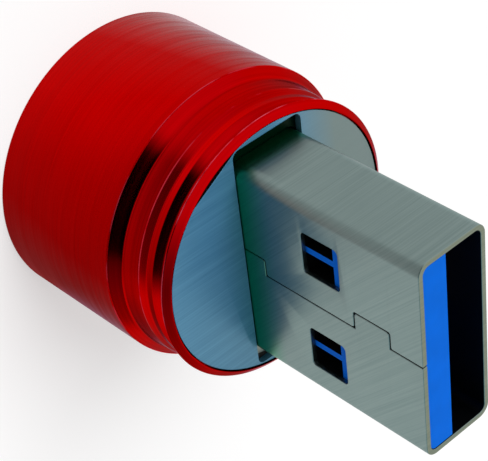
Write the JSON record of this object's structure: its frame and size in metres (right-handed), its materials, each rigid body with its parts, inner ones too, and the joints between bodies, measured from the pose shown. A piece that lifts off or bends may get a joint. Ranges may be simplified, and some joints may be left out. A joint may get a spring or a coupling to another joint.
{
  "type": "usb flash drive",
  "caption": "Short round flash drive: brushed barrel, ridged nose with a slotted front disc and a fixed Type-A plug with a blue tongue.",
  "frame": {"origin": "centre of the barrel's flat rear face", "axes": "+Z from the rear face to the tip of the plug; X along the plug's wide side; Y along its thickness, with the tongue and the seam towards -Y"},
  "size_m": [0.0164, 0.0162, 0.0243],
  "materials": {
    "barrel_red": "red anodised, circumferentially brushed satin",
    "nose_red": "red anodised, turned and polished",
    "disc_steel": "straight brushed, satin",
    "bezel_steel": "plain cut sheet",
    "shell_steel": "fine brushed, rolled sheet",
    "tongue_blue": "smooth moulded",
    "black_plastic": "fine moulded grain",
    "gasket": "matte",
    "contact_metal": "gold plated",
    "board": "solder mask over glass fibre",
    "chip": "moulded epoxy",
    "crystal_can": "bright lid",
    "passive": "ceramic with tinned ends"
  },
  "bodies": {
    "root": {"barrel": "barrel_red", "nose_collar": "nose_red", "front_disc": "disc_steel", "disc_gasket": "gasket", "slot_bezel": "bezel_steel", "plug_shell": "shell_steel", "tongue": "tongue_blue", "contact_housing": "black_plastic", "circuit_board": "board", "carrier_lower": "black_plastic", "carrier_upper": "black_plastic", "flash_memory": "chip", "controller": "chip", "crystal": "crystal_can", "inductor": "chip", "flat_contact_1": "contact_metal", "flat_contact_2": "contact_metal", "flat_contact_3": "contact_metal", "flat_contact_4": "contact_metal", "spring_contact_1": "contact_metal", "spring_contact_2": "contact_metal", "spring_contact_3": "contact_metal", "spring_contact_4": "contact_metal", "spring_contact_5": "contact_metal", "capacitor_1": "passive", "capacitor_2": "passive", "capacitor_3": "passive", "capacitor_4": "passive", "capacitor_5": "passive", "capacitor_6": "passive", "resistor_1": "passive", "resistor_2": "passive", "resistor_3": "passive", "resistor_4": "passive"}
  },
  "joints": []
}
